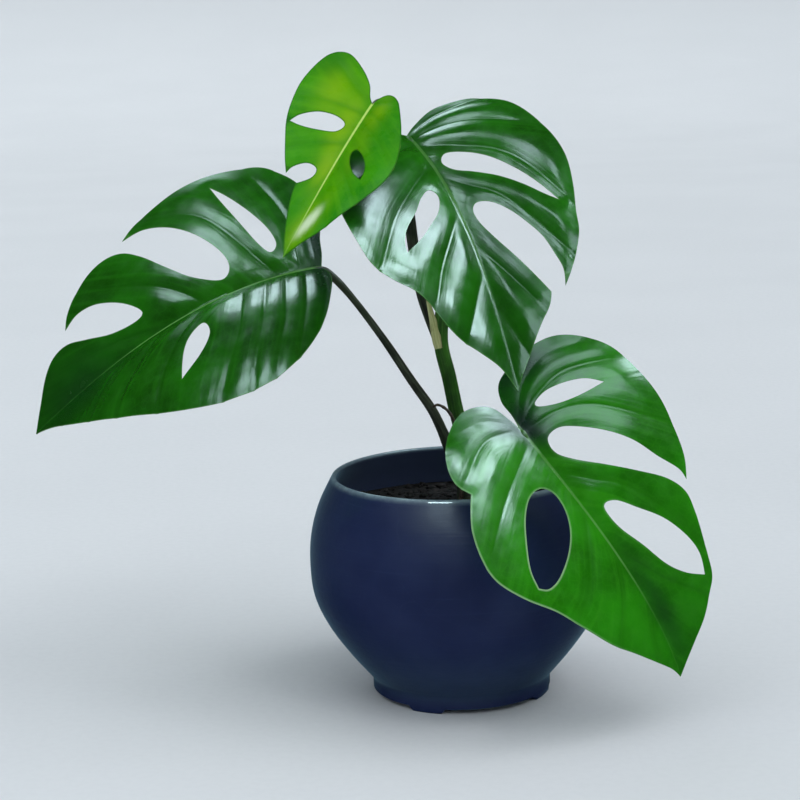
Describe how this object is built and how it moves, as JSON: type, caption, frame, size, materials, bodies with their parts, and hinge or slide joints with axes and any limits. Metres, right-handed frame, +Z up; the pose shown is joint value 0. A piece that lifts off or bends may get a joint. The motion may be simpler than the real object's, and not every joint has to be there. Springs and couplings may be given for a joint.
{
  "type": "potted monstera plant",
  "caption": "Young split-leaf monstera in a round dark blue belly pot, with glossy green blades on long stalks and a brighter new leaf at the top.",
  "frame": {"origin": "middle of the bottom face of the whole plant's bounding box, on the surface the pot stands on", "axes": "+Z up; -Y towards the viewer the leaves face; +X to that viewer's right"},
  "size_m": [0.4428, 0.2538, 0.4298],
  "materials": {
    "pot": "satin",
    "soil": "matte",
    "stem": "satin",
    "dark_stalk": "satin",
    "green_stalk": "satin",
    "leaf": "gloss",
    "new_leaf": "gloss",
    "sheath": "matte",
    "root": "matte"
  },
  "bodies": {
    "root": {"pot": "pot", "soil": "soil", "stem": "stem", "stalk_left": "dark_stalk", "stalk_top": "dark_stalk", "stalk_right": "green_stalk", "stalk_front": "green_stalk", "leaf_left": "leaf", "leaf_top": "new_leaf", "leaf_right": "leaf", "leaf_front": "leaf", "sheath": "sheath", "aerial_root": "root"}
  },
  "joints": []
}
